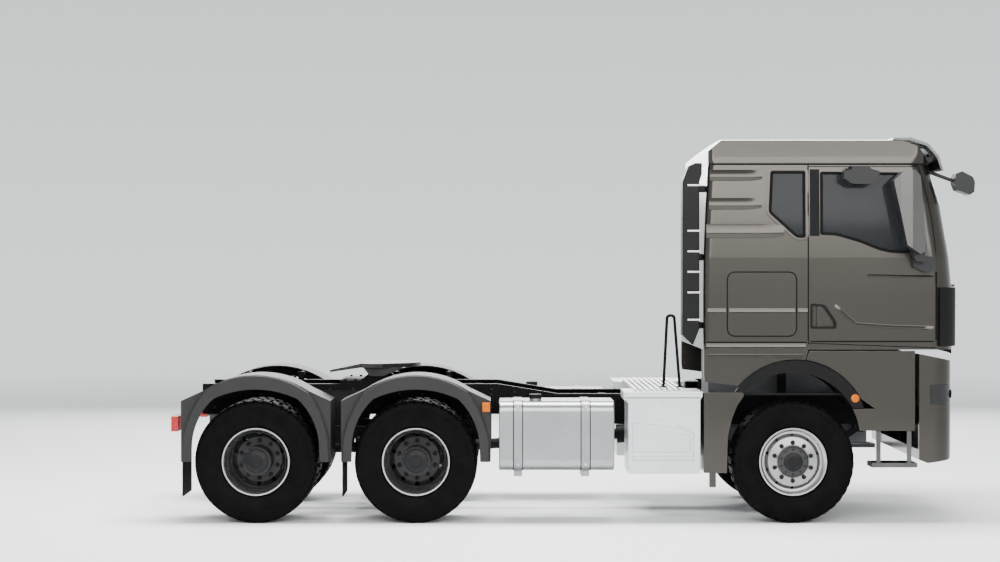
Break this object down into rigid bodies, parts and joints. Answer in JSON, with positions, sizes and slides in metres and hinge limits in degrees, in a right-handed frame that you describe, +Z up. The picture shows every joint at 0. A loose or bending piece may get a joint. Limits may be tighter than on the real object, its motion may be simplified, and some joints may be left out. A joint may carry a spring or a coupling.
{
  "type": "semi truck tractor unit",
  "caption": "Cab-over tractor unit with sleeper cab, steered front axle, twin-tyred driven bogie and a coupling plate that carries a semi-trailer.",
  "frame": {"origin": "on the ground below the centre of the overall box", "axes": "+X points forward, +Y to the vehicle's left, +Z up"},
  "size_m": [7.076, 3.04, 3.4008],
  "materials": {
    "frame_black": "satin",
    "axle_black": "matt",
    "engine_grey": "matt",
    "tank_aluminium": "brushed",
    "strap_steel": "satin",
    "box_silver": "satin",
    "deck_aluminium": "satin",
    "fender_plastic": "grained",
    "mudflap_rubber": "matt",
    "lamp_red": "gloss",
    "lamp_clear": "clear",
    "trim_black": "grained",
    "body_paint": "metallic",
    "step_steel": "satin",
    "plate_steel": "satin",
    "window_glass": "tinted",
    "visor_black": "gloss",
    "mirror_plastic": "satin",
    "seat_fabric": "woven",
    "dash_plastic": "grained",
    "intake_black": "matt",
    "tyre_rubber": "matt",
    "rim_silver": "silver"
  },
  "bodies": {
    "chassis": {"chassis_frame": "frame_black", "rear_axles": "axle_black", "front_axle": "axle_black", "leaf_springs": "axle_black", "engine_block": "engine_grey", "drive_shafts": "axle_black", "fuel_tanks": "tank_aluminium", "tank_straps": "strap_steel", "side_boxes": "box_silver", "deck_grating": "deck_aluminium", "grab_handle": "frame_black", "rear_fenders": "fender_plastic", "fender_stays": "frame_black", "mudflaps": "mudflap_rubber", "tail_lamps": "lamp_red", "wheel_arches": "trim_black", "front_mudguards": "body_paint", "bumper": "body_paint", "headlamps": "lamp_clear", "entry_panels": "body_paint", "step_frames": "step_steel", "fifth_wheel_base": "frame_black"},
    "coupling_plate": {"fifth_wheel_plate": "plate_steel"},
    "right_knuckle": {"knuckle_right": "axle_black"},
    "left_knuckle": {"knuckle_left": "axle_black"},
    "front_wheel_right": {"tyre_front_right": "tyre_rubber", "rim_front_right": "rim_silver"},
    "front_wheel_left": {"tyre_front_left": "tyre_rubber", "rim_front_left": "rim_silver"},
    "mid_wheel_right": {"tyre_mid_right": "tyre_rubber", "rim_mid_right": "rim_silver"},
    "mid_wheel_left": {"tyre_mid_left": "tyre_rubber", "rim_mid_left": "rim_silver"},
    "rear_wheel_right": {"tyre_rear_right": "tyre_rubber", "rim_rear_right": "rim_silver"},
    "rear_wheel_left": {"tyre_rear_left": "tyre_rubber", "rim_rear_left": "rim_silver"},
    "cab": {"cab_shell": "body_paint", "cab_roof": "body_paint", "cab_glazing": "window_glass", "sun_visor": "visor_black", "front_mirror": "mirror_plastic", "seats": "seat_fabric", "bunk": "seat_fabric", "dashboard": "dash_plastic", "air_intake": "intake_black"},
    "right_door": {"door_right": "body_paint", "door_glass_right": "window_glass", "mirror_right": "mirror_plastic"},
    "left_door": {"door_left": "body_paint", "door_glass_left": "window_glass", "mirror_left": "mirror_plastic"},
    "right_locker": {"locker_lid_right": "body_paint"},
    "left_locker": {"locker_lid_left": "body_paint"},
    "front_panel": {"front_flap": "trim_black"}
  },
  "joints": [
    {"name": "cab_tilt", "type": "hinge", "parent": "chassis", "child": "cab", "pos_m": [3.073, 0, 1.08], "axis": [0, 1, 0], "range_deg": [0, 60]},
    {"name": "right_door_swing", "type": "hinge", "parent": "cab", "child": "right_door", "pos_m": [3.1572, -1.222, 1.8], "axis": [0, 0, 1], "range_deg": [0, 75]},
    {"name": "left_door_swing", "type": "hinge", "parent": "cab", "child": "left_door", "pos_m": [3.1572, 1.222, 1.8], "axis": [0, 0, -1], "range_deg": [0, 75]},
    {"name": "right_locker_lift", "type": "hinge", "parent": "cab", "child": "right_locker", "pos_m": [1.6365, -1.2225, 2.1982], "axis": [-1, 0, 0], "range_deg": [0, 85]},
    {"name": "left_locker_lift", "type": "hinge", "parent": "cab", "child": "left_locker", "pos_m": [1.6365, 1.2225, 2.1982], "axis": [1, 0, 0], "range_deg": [0, 85]},
    {"name": "front_panel_lift", "type": "hinge", "parent": "cab", "child": "front_panel", "pos_m": [3.44, 0, 2.0652], "axis": [0, -1, 0], "range_deg": [0, 70]},
    {"name": "left_steer", "type": "hinge", "parent": "chassis", "child": "left_knuckle", "pos_m": [1.911, 0.88, 0.538], "axis": [0, 0, 1], "range_deg": [-40, 40]},
    {"name": "right_steer", "type": "hinge", "parent": "chassis", "child": "right_knuckle", "pos_m": [1.911, -0.88, 0.538], "axis": [0, 0, 1], "range_deg": [-40, 40]},
    {"name": "front_right_roll", "type": "hinge", "parent": "right_knuckle", "child": "front_wheel_right", "pos_m": [1.911, -1.0425, 0.538], "axis": [0, 1, 0], "continuous": true},
    {"name": "front_left_roll", "type": "hinge", "parent": "left_knuckle", "child": "front_wheel_left", "pos_m": [1.911, 1.0425, 0.538], "axis": [0, 1, 0], "continuous": true},
    {"name": "mid_right_roll", "type": "hinge", "parent": "chassis", "child": "mid_wheel_right", "pos_m": [-1.389, -0.9025, 0.538], "axis": [0, 1, 0], "continuous": true},
    {"name": "mid_left_roll", "type": "hinge", "parent": "chassis", "child": "mid_wheel_left", "pos_m": [-1.389, 0.9025, 0.538], "axis": [0, 1, 0], "continuous": true},
    {"name": "rear_right_roll", "type": "hinge", "parent": "chassis", "child": "rear_wheel_right", "pos_m": [-2.789, -0.9025, 0.538], "axis": [0, 1, 0], "continuous": true},
    {"name": "rear_left_roll", "type": "hinge", "parent": "chassis", "child": "rear_wheel_left", "pos_m": [-2.789, 0.9025, 0.538], "axis": [0, 1, 0], "continuous": true},
    {"name": "coupling_pitch", "type": "hinge", "parent": "chassis", "child": "coupling_plate", "pos_m": [-1.78, 0, 1.285], "axis": [0, 1, 0], "range_deg": [-11, 11]}
  ],
  "couplings": [
    {"joint": "right_steer", "follows": "left_steer", "ratio": 1}
  ]
}
